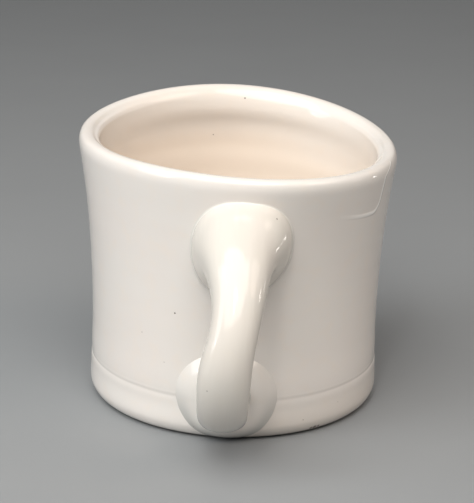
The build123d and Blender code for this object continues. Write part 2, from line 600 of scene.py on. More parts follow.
@dataclass(frozen=True)
class HighlightLine:
    """A pale line with a small ridge, down the wall below the lip, then round to the left: the
    ridge is relief, and the pale tint is a painted highlight.

    Lengths are in millimetres. The heading is in radians, and the run is the length round the cup
    from there. The slope is how fast the radius that parts outside from inside grows with height.
    """

    heading: float = -0.52
    cup_radius: float = 48.0
    level: float = 68.6
    rise: float = 0.006
    corner: float = 4.0
    flare: float = 9.0
    flare_start: float = 79.0
    flare_end: float = 84.0
    fade_start: float = -23.0
    fade_end: float = 0.0
    width: float = 0.95
    core: float = 0.2
    ridge: float = 0.18
    outside_start: float = 45.0
    outside_end: float = 46.0
    outside_slope: float = 0.33
    tint: Colour = (0.970, 0.950, 0.920)

    def mask(self, paint: Paintbox) -> Signal:
        """Finds the line on the cup.

        Args:
            paint: the material being mixed.

        Returns:
            A mask that is 1 on the line.
        """
        run = (paint.y.math("ARCTAN2", paint.x) - self.heading) * self.cup_radius
        flare = paint.z.fade(self.flare_start, self.flare_end) * self.flare
        beside = (run - flare + self.corner).math("MAXIMUM", 0.0)
        below = (self.level + run * run * self.rise - paint.z + self.corner).math("MAXIMUM", 0.0)
        away = paint.length(beside, below) - self.corner
        upright = paint.radius - (paint.z - self.level) * self.outside_slope
        outside = upright.fade(self.outside_start, self.outside_end)
        reach = run.fade(self.fade_start, self.fade_end) * outside
        return (1 - away.math("ABSOLUTE").fade(self.width * self.core, self.width)) * reach


@dataclass(frozen=True)
class PaintedShade:
    """Painted shade: grey painted round the pad's lower edge and low on the handle, where shade
    falls.

    The ring lies between two distances from the pad's centre. The shade low on the handle fades out
    with height.
    """

    centre: tuple[float, float]
    inner: float = 10.0
    outer: float = 13.8
    top: float = 18.0
    bottom: float = 6.0
    share: float = 0.55
    low_shade_bottom: float = 6.0
    low_shade_top: float = 30.0
    low_shade: float = 0.0
    grey: Colour = (0.480, 0.490, 0.465)

    def mask(self, paint: Paintbox) -> Signal:
        """Finds where the shade is painted.

        Args:
            paint: the material being mixed.

        Returns:
            How much of the grey shows.
        """
        away = paint.length(paint.x - self.centre[0], paint.z - self.centre[1])
        low = 1 - paint.z.fade(self.bottom, self.top)
        ring = away.fade(self.inner, self.outer) * low * self.share
        low_shade = (1 - paint.z.fade(self.low_shade_bottom, self.low_shade_top)) * self.low_shade
        return ring.math("MAXIMUM", low_shade)


@dataclass(frozen=True)
class LowRightShade:
    """Painted shade: a warm grey low on the cup's right side, the side away from the lamps, in
    millimetres.
    """

    colour: Colour = (0.590, 0.540, 0.485)
    share: float = 0.55
    low: float = 4.0
    high: float = 16.0
    left: float = -6.0
    right: float = 14.0

    def mask(self, paint: Paintbox) -> Signal:
        """Finds how much of the warm grey shows."""
        low = 1 - paint.z.fade(self.low, self.high)
        return low * paint.x.fade(self.left, self.right) * self.share


@dataclass(frozen=True)
class WarmBounce:
    """Painted light: a creamier tone inside the cup, standing in for warm light bounced round
    inside it, paler near the lip, in millimetres.
    """

    radius: float
    edge_in: float = 1.0
    edge_out: float = 1.5
    floor_start: float = 4.0
    floor_end: float = 7.0
    share: float = 0.9
    pale_share: float = 0.6
    pale_start: float = 70.0
    pale_end: float = 80.0

    def mask(self, paint: Paintbox) -> Signal:
        """Finds how much of the cream shows.

        Args:
            paint: the material being mixed.

        Returns:
            Its share, from 0 outside the cup.
        """
        outside = paint.radius.fade(self.radius - self.edge_in, self.radius + self.edge_out)
        inner = (1 - outside) * paint.z.fade(self.floor_start, self.floor_end)
        pale = paint.z.fade(self.pale_start, self.pale_end) * self.pale_share
        return inner * (self.share - pale)


@dataclass(frozen=True)
class Glaze:
    """A glossy white glaze over pale clay, with soft tone changes, iron specks and slow waves.

    Sizes and heights are in millimetres. The pull is the height of the lines that a wet hand left
    along the handle.
    """

    name: str
    white: Colour = (0.790, 0.752, 0.708)
    cream: Colour = (0.835, 0.735, 0.632)
    blush: Colour = (0.800, 0.738, 0.690)
    iron: Colour = (0.090, 0.060, 0.040)
    roughness: float = 0.07
    cloud_size: float = 24.0
    cloud_share: float = 0.5
    mottle_size: float = 4.5
    mottle_share: float = 0.25
    wave_size: float = 11.0
    wave: float = 0.05
    peel_size: float = 1.1
    peel: float = 0.0035
    pull_size: float = 2.4
    pull: float = 0.0
    pits: Scatter = Scatter(5.2, 0.05, 0.22, 0.55)
    pit_depth: float = 0.03
    fine_specks: Scatter | None = Scatter(8.5, 0.12, 0.34, 0.6)
    specks: tuple[Speck, ...] = SPECKS
    speck_depth: float = 0.02
    warm_bounce: WarmBounce | None = None
    line: HighlightLine | None = None
    low_right_shade: LowRightShade | None = None
    painted_shade: PaintedShade | None = None
    shine: float = 0.5

    def mix(self) -> bpy.types.Material:
        """Makes the material.

        Returns:
            The glaze, ready to put on a piece.
        """
        paint = Paintbox(self.name)
        cloud = paint.noise(self.cloud_size, 2.0)
        mottle = paint.noise(self.mottle_size, 3.0)
        clouds = cloud.fade(0.40, 0.72) * self.cloud_share
        colour = paint.blend(clouds, self.white, self.blush)
        colour = paint.blend(mottle.fade(0.45, 0.8) * self.mottle_share, colour, self.cream)
        # painted light: a creamier tone inside the cup for warm bounced light
        if self.warm_bounce:
            colour = paint.blend(self.warm_bounce.mask(paint), colour, self.cream)
        relief = paint.noise(self.wave_size, 1.0) * self.wave
        # painted highlight: the pale tint of the line; its ridge is relief
        if self.line:
            line = self.line.mask(paint)
            colour = paint.blend(line, colour, self.line.tint)
            relief = relief + line * self.line.ridge
        # painted shade: warm grey low on the cup's right side
        if self.low_right_shade:
            colour = paint.blend(self.low_right_shade.mask(paint), colour, self.low_right_shade.colour)
        # painted shade: grey round the pad's lower edge, and darker towards the handle's bottom
        if self.painted_shade:
            colour = paint.blend(self.painted_shade.mask(paint), colour, self.painted_shade.grey)
        if self.pull:
            relief = relief + paint.noise(self.pull_size, 2.0, (1.0, 0.1, 0.1)) * self.pull
        spots = self._spots(paint)
        colour = paint.blend(spots, colour, self.iron)
        peel = paint.noise(self.peel_size, 1.0) * self.peel
        pits, _ = self.pits.mask(paint)
        normal = paint.bump(relief + peel - pits * self.pit_depth - spots * self.speck_depth)
        roughness = self.roughness + cloud * 0.05 + mottle * 0.03 + pits * 0.2
        return paint.finish(
            {
                "Base Color": colour,
                "Roughness": roughness,
                "Normal": normal,
                "IOR": 1.5,
                "Specular IOR Level": self.shine,
            }
        )

    def _spots(self, paint: Paintbox) -> Signal:
        """Scatters fine iron specks, each of its own depth, and sets the plain ones.

        Args:
            paint: the material being mixed.

        Returns:
            A mask that is 1 in the middle of a deep speck.
        """
        masks = [speck.mask(paint) for speck in self.specks]
        if self.fine_specks:
            fine, luck = self.fine_specks.mask(paint)
            masks.append(fine * (0.25 + luck * 0.4))
        spots = masks[0]
        for mask in masks[1:]:
            spots = spots.math("MAXIMUM", mask)
        return spots


@dataclass(frozen=True)
class BareClay:
    """Fired clay with no glaze, wiped clean, with grog and turning lines, in millimetres."""

    name: str
    clay: Colour = (0.640, 0.560, 0.450)
    toasted: Colour = (0.520, 0.400, 0.280)
    grog: Colour = (0.300, 0.220, 0.160)
    tone_size: float = 9.0
    grains: Scatter = Scatter(0.9, 0.1, 0.3, 0.6, 0.1)
    grain_share: float = 0.6
    grain_height: float = 0.02
    lines_per_mm: float = 7.0
    line_height: float = 0.012
    grit_size: float = 0.35
    grit_height: float = 0.05
    roughness: float = 0.62

    def mix(self) -> bpy.types.Material:
        """Makes the material.

        Returns:
            The clay, ready to put on a piece.
        """
        paint = Paintbox(self.name)
        tone = paint.noise(self.tone_size, 3.0)
        colour = paint.blend(tone.fade(0.35, 0.7), self.clay, self.toasted)
        grains, _ = self.grains.mask(paint)
        colour = paint.blend(grains * self.grain_share, colour, self.grog)
        lines = (paint.radius * self.lines_per_mm + tone * 2.0).math("SINE") * self.line_height
        grit = paint.noise(self.grit_size, 2.0) * self.grit_height
        return paint.finish(
            {
                "Base Color": colour,
                "Roughness": self.roughness + tone * 0.25,
                "Normal": paint.bump(lines + grit + grains * self.grain_height),
            }
        )


@dataclass(frozen=True)
class Paper:
    """The pale seamless paper that the mug stands on."""

    name: str
    pale: Colour = (0.28, 0.292, 0.30)
    shade: Colour = (0.265, 0.276, 0.284)
    tone_size: float = 60.0
    grain_size: float = 0.8
    grain_height: float = 0.02

    def mix(self) -> bpy.types.Material:
        """Makes the material.

        Returns:
            The paper, ready to put on the floor.
        """
        paint = Paintbox(self.name)
        tone = paint.noise(self.tone_size, 3.0)
        grain = paint.noise(self.grain_size, 2.0)
        return paint.finish(
            {
                "Base Color": paint.blend(tone, self.pale, self.shade),
                "Roughness": 0.75 + grain * 0.1,
                "Normal": paint.bump(grain * self.grain_height),
            }
        )


# ---------------------------------------------------------------- clay


@dataclass(frozen=True)
class Lobes:
    """A wave round a form, as a share of its radius or width; its peak is in degrees."""

    count: int
    share: float
    peak: float

    def at(self, angle: np.ndarray | float) -> np.ndarray:
        """Reads the wave in one or more directions, in radians."""
        return self.share * np.cos(self.count * (angle - math.radians(self.peak)))


@dataclass(frozen=True)
class Slump:
    """How the soft cup leaned and warped above a level as it dried, in millimetres and degrees."""

    start: float = 21.5
    top: float = 86.0
    right: float = 2.03
    front: float = 3.11
    spread: tuple[Lobes, ...] = (Lobes(2, 0.0070, -42.6), Lobes(3, 0.0278, 55.3))
    lift: tuple[Lobes, ...] = (Lobes(2, 0.0327, -80.4), Lobes(3, 0.0043, -17.2))

    def settle(self, piece: bpy.types.Object) -> None:
        """Moves every point of an upright form to where the soft clay ended up.

        Args:
            piece: the upright form, in millimetres.
        """
        points = points_of(piece)
        x, y, z = points.T
        rise = np.maximum(z - self.start, 0.0)
        share = rise / (self.top - self.start)
        right = math.radians(self.right) * share
        front = math.radians(self.front) * share
        across = np.stack([np.cos(right), np.zeros_like(z), -np.sin(right)], 1)
        back = np.stack([np.zeros_like(z), np.cos(front), np.sin(front)], 1)
        up = np.cross(across, back)
        centre = np.stack([right * rise / 2, -front * rise / 2, z], 1)
        angle = np.arctan2(y, x)
        radius = np.hypot(x, y)
        wide = radius * (1 + share**2 * sum(lobes.at(angle) for lobes in self.spread))
        lifted = radius * share**2 * sum(lobes.at(angle) for lobes in self.lift)
        settled = centre + across * (wide * np.cos(angle))[:, None]
        settled += back * (wide * np.sin(angle))[:, None] + up * lifted[:, None]
        put_points(piece, settled)


class Zone(Enum):
    """The zones of the thrown cup: each is a piece of its own, named with its node."""

    FLOOR = ("glazed_floor", "cup_floor")
    FOOT = ("glazed_foot", "foot_band")
    WALL = ("glazed_wall", "thrown_wall")
    LIP = ("glazed_lip", "rolled_lip")

    @property
    def piece_name(self) -> str:
        """The name of the zone's piece."""
        return self.value[0]

    @property
    def node(self) -> str:
        """The node of the design that the piece stands for."""
        return self.value[1]


@dataclass
class Cup:
    """The thrown cup: one outline turned on the wheel, slumped, and kept as four zones."""

    slump: Slump = field(default_factory=Slump)
    sides: int = 96
    floor: NodeBox = field(default_factory=lambda: NodeBox.of("cup_floor"))
    foot: NodeBox = field(default_factory=lambda: NodeBox.of("foot_band"))
    ring: NodeBox = field(default_factory=lambda: NodeBox.of("foot_ring"))
    lip: NodeBox = field(default_factory=lambda: NodeBox.of("rolled_lip"))
    wall_thickness: float = 4.8
    lip_base: float = 79.5
    lip_base_inset: float = 0.35
    flare_start: float = 21.0
    flare_power: float = 2.3
    foot_ease: float = 0.3
    foot_ease_height: float = 12.0
    throwing_depth: float = 0.014
    throwing_pitch: float = 8.3
    wall_start: float = 2.6
    wall_steps: int = 26
    # The underside: flat rings, then a small corner (in, down) and a gap beside the foot ring.
    underside_radii: tuple[float, ...] = (2.0, 20.0)
    ring_corner: tuple[float, float] = (0.4, 0.8)
    ring_gap: float = 0.1
    glaze_rise: float = 0.15
    # The foot band: a round edge up to the bulge, then points (in from the bulge, height).
    foot_start: float = 0.15
    bulge_height: float = 4.9
    bulge_steps: int = 7
    foot_side: tuple[tuple[float, float], ...] = ((0.05, 7.0), (0.18, 9.5))
    # Each point is (out from the wall's foot, up from the top of the foot band).
    step_points: tuple[tuple[float, float], ...] = (
        (0.16, -1.8), (0.10, -0.8), (0.02, 0.0), (-0.07, 0.8), (-0.10, 1.7),
    )
    # Each point is (in from the rim's radius, down from the rim's height).
    lip_points: tuple[tuple[float, float], ...] = (
        (0.12, 4.8), (0.0, 3.3), (0.12, 2.0), (0.5, 0.95), (1.15, 0.3), (2.1, 0.0), (3.2, 0.05),
        (4.3, 0.5), (5.3, 1.35), (6.1, 2.45), (6.75, 3.9), (7.1, 5.3),
    )
    nose_points: tuple[tuple[float, float], ...] = (
        (7.15, 7.8), (6.9, 9.0), (6.6, 10.2), (6.4, 11.6), (6.35, 13.2),
    )
    lip_base_inward: float = 7.25
    # The inside: the wall's steps and finger waves, the round cove, and the floor's rings.
    inside_start: float = 15.5
    inside_end: float = 1.5
    inside_steps: int = 18
    inside_wave: float = 0.13
    cove_radius: float = 6.0
    cove_steps: int = 6
    floor_radii: tuple[float, ...] = (30.0, 25.0, 20.0, 15.0, 10.0, 6.0, 3.0, 1.5)
    floor_wave: float = 0.12
    floor_turn: float = 0.55
    # The marks on the lip are (in from the rim's radius, width, depth or height).
    crease: tuple[float, float, float] = (4.9, 0.6, 0.32)
    ridge: tuple[float, float, float] = (5.95, 0.6, 0.22)
    lip_depth: float = 6.0
    nose_edge: float = 6.35
    nose_depth: float = 13.0
    # The groove above the foot band is shallow at the front and full at the sides.
    groove_rise: float = 0.25
    groove_width: float = 0.42
    groove_depth: float = 0.14
    groove_front: float = 0.12
    # The band under it is drawn in at the front and the back, between two heights.
    ease_low: float = 4.5
    ease_high: float = 10.0
    ease_end: float = 1.2
    ease_fade: float = 1.6
    ease_depth: float = 0.25
    skin: Surface = field(init=False)

    @property
    def rim_radius(self) -> float:
        """The outermost radius of the lip."""
        return self.lip.width / 2 / math.cos(math.radians(self.slump.right))

    @property
    def foot_top(self) -> float:
        """The height where the foot band ends."""
        return self.foot.high.z

    @property
    def floor_radius(self) -> float:
        """The radius of the flat floor."""
        return self.floor.width / 2

    def wall_radius(self, height: float) -> float:
        """The waisted outer radius of the wall.

        Args:
            height: the height before the cup slumps.

        Returns:
            The radius there.
        """
        ease = self.foot_ease * max(0.0, 1 - (height - self.foot_top) / self.foot_ease_height)
        rise = max(0.0, height - self.flare_start) / (self.lip_base - self.flare_start)
        top = self.rim_radius - self.lip_base_inset
        return WAIST_RADIUS + ease + (top - WAIST_RADIUS) * rise**self.flare_power

    def _underside(self) -> Outline:
        """The hollow foot, from the centre out to the glaze line beside the foot ring.

        Returns:
            The (radius, height) of each point.
        """
        ring, top = self.ring.width / 2, self.ring.high.z
        flat = [(radius, top) for radius in (*self.underside_radii, self.floor_radius)]
        inward, down = self.ring_corner
        corner = [(ring - inward, top), (ring + self.ring_gap / 2, top - down)]
        return [*flat, *corner, (ring + self.ring_gap, self.foot.low.z + self.glaze_rise)]

    def _foot(self) -> Outline:
        """The rounded foot band up to the soft step at its top.

        Returns:
            The (radius, height) of each point.
        """
        start = self.ring.width / 2 + self.foot_start
        bulge = self.foot.width / 2
        low = self.foot.low.z
        turns = [math.pi / 2 * step / self.bulge_steps for step in range(self.bulge_steps + 1)]
        round_edge = [
            (
                start + (bulge - start) * math.sin(turn),
                low + (self.bulge_height - low) * (1 - math.cos(turn)),
            )
            for turn in turns
        ]
        side = [(bulge - inward, height) for inward, height in self.foot_side]
        wall_foot = self.wall_radius(self.foot_top)
        step_edge = [(wall_foot + out, self.foot_top + up) for out, up in self.step_points]
        return [*round_edge, *side, *step_edge]

    def _wall(self) -> Outline:
        """The outside of the wall, with the slow waves that the fingers left.

        Returns:
            The (radius, height) of each point.
        """
        start = self.foot_top + self.wall_start
        heights = [
            start + (self.lip_base - start) * step / self.wall_steps
            for step in range(self.wall_steps + 1)
        ]
        waves = [math.sin(2 * math.pi * height / self.throwing_pitch) for height in heights]
        return [
            (self.wall_radius(height) + self.throwing_depth * wave, height)
            for height, wave in zip(heights, waves)
        ]

    def _lip(self) -> Outline:
        """The rolled lip, over the crest, down the crease and round the nose.

        Returns:
            The (radius, height) of each point.
        """
        rim, top = self.rim_radius, self.slump.top
        crest = [(rim - inward, top - down) for inward, down in self.lip_points]
        base = (rim - self.lip_base_inward, self.lip_base)
        nose = [(rim - inward, top - down) for inward, down in self.nose_points]
        return [*crest, base, *nose]

    def _inside(self) -> Outline:
        """The inside of the wall and the cove, down to the edge of the floor.

        Returns:
            The (radius, height) of each point.
        """
        low = self.floor.high.z + self.cove_radius
        start = self.slump.top - self.inside_start
        fall = (low + self.inside_end - start) / self.inside_steps
        heights = [start + fall * step for step in range(self.inside_steps + 1)]
        waves = [math.sin(2 * math.pi * height / self.throwing_pitch + 1) for height in heights]
        wall = [
            (self.wall_radius(height) - self.wall_thickness + self.inside_wave * wave, height)
            for height, wave in zip(heights, waves)
        ]
        foot = self.wall_radius(low) - self.wall_thickness
        turns = [math.pi / 2 * step / self.cove_steps for step in range(1, self.cove_steps + 1)]
        reach = foot - self.floor_radius
        cove = [
            (self.floor_radius + reach * math.cos(turn), low - self.cove_radius * math.sin(turn))
            for turn in turns
        ]
        return [*wall, (foot, self.foot_top), *cove]

    def _floor(self) -> Outline:
        """The floor of the cup, with a slight spiral rise left by the fingers.

        Returns:
            The (radius, height) of each point.
        """
        top = self.floor.high.z
        return [
            (radius, top - self.floor_wave * math.sin(radius * self.floor_turn) ** 2)
            for radius in self.floor_radii
        ]

    def zone_of(self, radius: float, height: float) -> Zone:
        """Says which zone a place on the upright cup belongs to.

        Args:
            radius: its distance from the axis.
            height: its height.

        Returns:
            The zone.
        """
        if radius < self.floor_radius and height < self.foot_top:
            return Zone.FLOOR
        if height < self.foot_top:
            return Zone.FOOT
        if height < self.lip_base:
            return Zone.WALL
        return Zone.LIP

    def build(self) -> dict[Zone, bpy.types.Object]:
        """Turns the cup, lets it slump and parts it into its zones.

        Returns:
            The piece of each zone.
        """
        outline = [
            *self._underside(), *self._foot(), *self._wall(), *self._lip(),
            *self._inside(), *self._floor(),
        ]
        whole = Turning("cup", self.sides, tighten(outline)).piece
        zones = list(Zone)
        for zone in zones:
            whole.data.materials.append(bpy.data.materials.new(zone.piece_name))
        for polygon in whole.data.polygons:
            radius = math.hypot(*polygon.center.xy)
            polygon.material_index = zones.index(self.zone_of(radius, polygon.center.z))
        subdivide(whole, 2)
        self._mark(whole)
        self.slump.settle(whole)
        face_outwards(whole)
        self.skin = Surface(whole)
        return self._part(whole, zones)

    def _mark(self, whole: bpy.types.Object) -> None:
        """Presses in the marks that change on the way round: on the lip and above the foot.

        Args:
            whole: the upright cup.
        """
        points = points_of(whole)
        radius = np.hypot(points[:, 0], points[:, 1])
        sideways = (points[:, 0] / radius) ** 2
        inward = self.rim_radius - radius
        on_top = points[:, 2] > self.slump.top - self.lip_depth
        for (place, width, height), sign in ((self.crease, -1), (self.ridge, 1)):
            mark = np.exp(-(((inward - place) / width) ** 2)) * height * sideways**2
            points[:, 2] += sign * mark * on_top
        up = points[:, 2]
        under_nose = (up > self.slump.top - self.nose_depth) & (inward > self.nose_edge)
        push = (inward - self.nose_edge) * sideways * under_nose
        outside = radius > WAIST_RADIUS - 1
        rise = np.clip((up - self.ease_low) / (self.ease_high - self.ease_low), 0, 1)
        under = np.clip((self.foot_top + self.ease_end - up) / self.ease_fade, 0, 1)
        eased = rise**2 * (3 - 2 * rise) * under**2 * (3 - 2 * under)
        draw = self.ease_depth * eased * (1 - sideways**2) * outside
        above = (up - self.foot_top - self.groove_rise) / self.groove_width
        share = self.groove_front + (1 - self.groove_front) * sideways**2
        cut = np.exp(-(above**2)) * self.groove_depth * share * outside
        scale = (1 + push / radius) * (1 - draw / radius) * (1 - cut / radius)
        points[:, :2] *= scale[:, None]
        put_points(whole, points)

    def _part(self, whole: bpy.types.Object, zones: list[Zone]) -> dict[Zone, bpy.types.Object]:
        """Separates the zones and closes the cut of each with a bridge.

        Args:
            whole: the slumped cup, with a material for each zone.
            zones: the zones in the order of the materials.

        Returns:
            The piece of each zone.
        """
        smooth(whole)
        pick(whole)
        before = set(bpy.data.objects) - {whole}
        bpy.ops.object.mode_set(mode="EDIT")
        bpy.ops.mesh.separate(type="MATERIAL")
        bpy.ops.object.mode_set(mode="OBJECT")
        # A zone's open rings lie at the floor's edge, at the foot's top or at the lip's base.
        floor_to_foot = (self.floor.high.z + self.foot_top) / 2
        levels = (0.0, floor_to_foot, self.slump.top / 2, math.inf)
        pieces = {}
        for piece in set(bpy.data.objects) - before:
            name = piece.data.materials[0].name
            zone = next(z for z in zones if z.piece_name == name)
            piece.name = zone.piece_name
            piece.data.materials.clear()
            for low, high in zip(levels, levels[1:]):
                self._bridge(piece, low, high)
            face_outwards(piece)
            smooth(piece)
            pieces[zone] = piece
        return {zone: pieces[zone] for zone in zones}

    @staticmethod
    def _bridge(piece: bpy.types.Object, low: float, high: float) -> None:
        """Closes a pair of open rings between two heights.

        Args:
            piece: the zone's piece.
            low: the lowest height of the rings.
            high: the highest height of the rings.
        """
        with editing(piece, "EDGE"):
            select_edges(
                piece,
                lambda edge: edge.is_boundary and low <= edge.verts[0].co.z < high,
            )
            mesh = bmesh.from_edit_mesh(piece.data)
            if any(edge.select for edge in mesh.edges):
                bpy.ops.mesh.bridge_edge_loops()


@dataclass
class FootRing:
    """The unglazed ring that the cup stands on, trimmed on the wheel."""

    box: NodeBox = field(default_factory=lambda: NodeBox.of("foot_ring"))
    inner_radius: float = 36.5
    sides: int = 144
    # Each point is (in from the ring's side, up from the table).
    edge: tuple[tuple[float, float], ...] = ((0.0, 0.7), (0.15, 0.175), (0.5, 0.0))
    # Each point is (share of the way across the tread, up from the table).
    tread: tuple[tuple[float, float], ...] = ((0.18, 0.0), (0.5, 0.12), (0.82, 0.0))
    # Each point is (into the ring's inner side, share of its height).
    groove: tuple[tuple[float, float], ...] = ((0.0, 0.6), (0.12, 0.7), (0.0, 0.8), (0.0, 1.0))

    def build(self) -> bpy.types.Object:
        """Turns the ring.

        Returns:
            The piece.
        """
        outer, inner, top = self.box.width / 2, self.inner_radius, self.box.high.z
        section = [
            (outer, top),
            *((outer - inward, up) for inward, up in self.edge),
            *((outer - (outer - inner) * share, up) for share, up in self.tread),
            *((inner + inward, up) for inward, up in reversed(self.edge)),
            *((inner + inward, top * share) for inward, share in self.groove),
        ]
        turns = [2 * math.pi * side / self.sides for side in range(self.sides)]
        rings = [
            [Vector((radius * math.cos(turn), radius * math.sin(turn), height)) for turn in turns]
            for radius, height in section
        ]
        piece = Sleeve("clay_ring", rings, hollow=True).piece
        subdivide(piece, 1)
        smooth(piece)
        return piece


@dataclass
class LowerPad:
    """The flat disc of clay that the handle's tail is pressed onto."""

    box: NodeBox = field(default_factory=lambda: NodeBox.of("lower_pad"))
    sides: int = 48
    # The disc ends above the table, and the wall behind its lower edge is read a little higher.
    lowest: float = 0.25
    lowest_wall: float = 0.7
    uneven: tuple[Lobes, ...] = (Lobes(2, 0.012, -17.19), Lobes(3, 0.008, 30.0))
    # Each point is (share of the radius, height off the wall).
    profile: tuple[tuple[float, float], ...] = (
        (0.06, 3.3), (0.35, 3.3), (0.55, 3.2), (0.68, 2.95), (0.79, 2.45), (0.88, 1.75),
        (0.95, 1.0), (1.0, 0.35), (1.04, -0.05), (1.04, -0.5), (0.5, -0.5), (0.06, -0.5),
    )
    skin: Surface = field(init=False)

    def build(self, wall: Surface) -> bpy.types.Object:
        """Presses the disc onto the cup.

        Args:
            wall: the skin of the cup.

        Returns:
            The piece.
        """
        centre = self.box.centre
        turns = [2 * math.pi * side / self.sides for side in range(self.sides)]
        rings = []
        for share, height in self.profile:
            ring = []
            for turn in turns:
                reach = share * float(1 + sum(lobes.at(turn) for lobes in self.uneven))
                x = centre.x + self.box.width / 2 * reach * math.cos(turn)
                z = max(centre.z + self.box.rise / 2 * reach * math.sin(turn), self.lowest)
                ring.append(Vector((x, wall.front(x, max(z, self.lowest_wall)) - height, z)))
            rings.append(ring)
        piece = Sleeve("pressed_pad", rings).piece
        subdivide(piece, 2)
        smooth(piece)
        self.skin = Surface(piece)
        return piece


@dataclass(frozen=True)
class Station:
    """One ring of the pulled handle: its centre and size in millimetres.

    The corner is the power of the ring's outline: 2 is an ellipse, and more is squarer. The draw
    is how far each corner is drawn in: upper left, upper right, lower left and lower right.
    """

    out: float
    height: float
    sideways: float
    width: float
    thickness: float
    corner: float = 2.2
    draw: tuple[float, float, float, float] = (0.0, 0.0, 0.0, 0.0)


@dataclass
class Handle:
    """The pulled handle, wide where it is pressed on and drawn down to a strap."""

    box: NodeBox = field(default_factory=lambda: NodeBox.of("handle"))
    sides: int = 24
    root_reach: float = 16.0
    tail_reach: float = 9.0
    draw_power: float = 1.5
    stations: tuple[Station, ...] = (
        Station(-1.6, 62.4, 1.7, 29.8, 31.0, 2.6, (0.16, -0.05, 0.09, 0.31)),
        Station(0.6, 62.4, 1.7, 30.0, 30.6, 2.6, (0.16, -0.05, 0.09, 0.38)),
        Station(3.2, 62.5, 1.6, 29.6, 29.0, 2.5, (0.16, -0.06, 0.12, 0.56)),
        Station(6.5, 62.6, 1.5, 27.9, 26.2, 2.4, (0.14, -0.06, 0.14, 0.70)),
        Station(10.0, 62.5, 1.1, 25.0, 22.8, 2.3, (0.10, -0.04, 0.16, 0.68)),
        Station(13.8, 61.9, 0.9, 21.9, 19.3, 2.2, (0.05, 0.0, 0.14, 0.52)),
        Station(17.8, 60.3, 1.0, 19.0, 16.5, 2.2, (0.0, 0.0, 0.05, 0.25)),
        Station(21.6, 57.6, 1.2, 16.7, 14.2, 2.2, (0.0, 0.0, 0.0, 0.1)),
        Station(25.4, 53.6, 1.2, 14.9, 12.8),
        Station(28.6, 49.0, 0.6, 14.0, 11.9),
        Station(30.9, 44.0, -0.5, 14.2, 11.5),
        Station(31.9, 38.5, -1.8, 15.1, 11.4),
        Station(31.5, 32.5, -2.4, 15.5, 11.3),
        Station(29.6, 26.5, -2.6, 15.2, 11.1),
        Station(26.2, 21.4, -2.6, 15.0, 10.9),
        Station(21.4, 17.8, -2.6, 14.9, 10.9),
        Station(15.6, 16.2, -2.6, 14.9, 11.1),
        Station(9.4, 15.8, -2.6, 15.2, 11.5),
        Station(4.0, 15.8, -2.6, 15.6, 12.1),
        Station(0.6, 15.8, -2.6, 16.0, 12.8),
        Station(-1.6, 15.8, -2.6, 16.0, 12.8),
    )
    skin: Surface = field(init=False)

    def _centre(self, station: Station) -> Vector:
        """The middle of a ring, before the ends are pressed on."""
        return Vector((station.sideways, -WAIST_RADIUS - station.out, station.height))

    def _ring(self, station: Station, heading: Vector) -> list[Vector]:
        """The points of one ring.

        Args:
            station: the ring's place and size.
            heading: unit direction that the handle runs in.

        Returns:
            The points, in order round the ring.
        """
        centre = self._centre(station)
        through = heading.cross(ACROSS).normalized()
        turn_share = 2 * math.pi / self.sides
        # Rounding draws a ring in a little, so it starts that much wider.
        swell = 1 / (1 - (1 - math.cos(turn_share)) / 3)
        ring = []
        for side in range(self.sides):
            turn = turn_share * (side + 0.5)
            along = math.copysign(abs(math.cos(turn)) ** (2 / station.corner), math.cos(turn))
            over = math.copysign(abs(math.sin(turn)) ** (2 / station.corner), math.sin(turn))
            corner = (0 if over > 0 else 2) + (1 if along > 0 else 0)
            along *= 1 - station.draw[corner] * abs(over) ** self.draw_power
            ring.append(
                centre
                + ACROSS * (along * station.width / 2 * swell)
                + through * (over * station.thickness / 2 * swell)
            )
        return ring

    def build(self, wall: Surface, pad: Surface) -> bpy.types.Object:
        """Pulls the handle and presses its two ends on.

        Args:
            wall: the skin of the cup.
            pad: the skin of the lower pad.

        Returns:
            The piece.
        """
        centres = [self._centre(station) for station in self.stations]
        rings = []
        for number, station in enumerate(self.stations):
            behind = centres[max(number - 1, 0)]
            ahead = centres[min(number + 1, len(centres) - 1)]
            heading = (ahead - behind).normalized()
            heading.x = 0
            rings.append(self._ring(station, heading.normalized()))
        piece = Sleeve("pulled_handle", rings).piece
        subdivide(piece, 3)
        self._press(piece, wall, pad)
        smooth(piece)
        self.skin = Surface(piece)
        return piece

    def _press(self, piece: bpy.types.Object, wall: Surface, pad: Surface) -> None:
        """Moves the two ends onto the curved clay behind them, fading out along the handle.

        Args:
            piece: the handle.
            wall: the skin behind the upper end.
            pad: the skin behind the lower end.
        """
        middle = self.box.centre.z
        points = points_of(piece)
        for point in points:
            is_root = point[2] > middle
            out = -WAIST_RADIUS - point[1]
            share = 1 - smooth_step(out, 0.0, self.root_reach if is_root else self.tail_reach)
            if share > 0:
                behind = wall if is_root else pad
                point[1] += (behind.front(point[0], point[2]) + WAIST_RADIUS) * share
        put_points(piece, points)


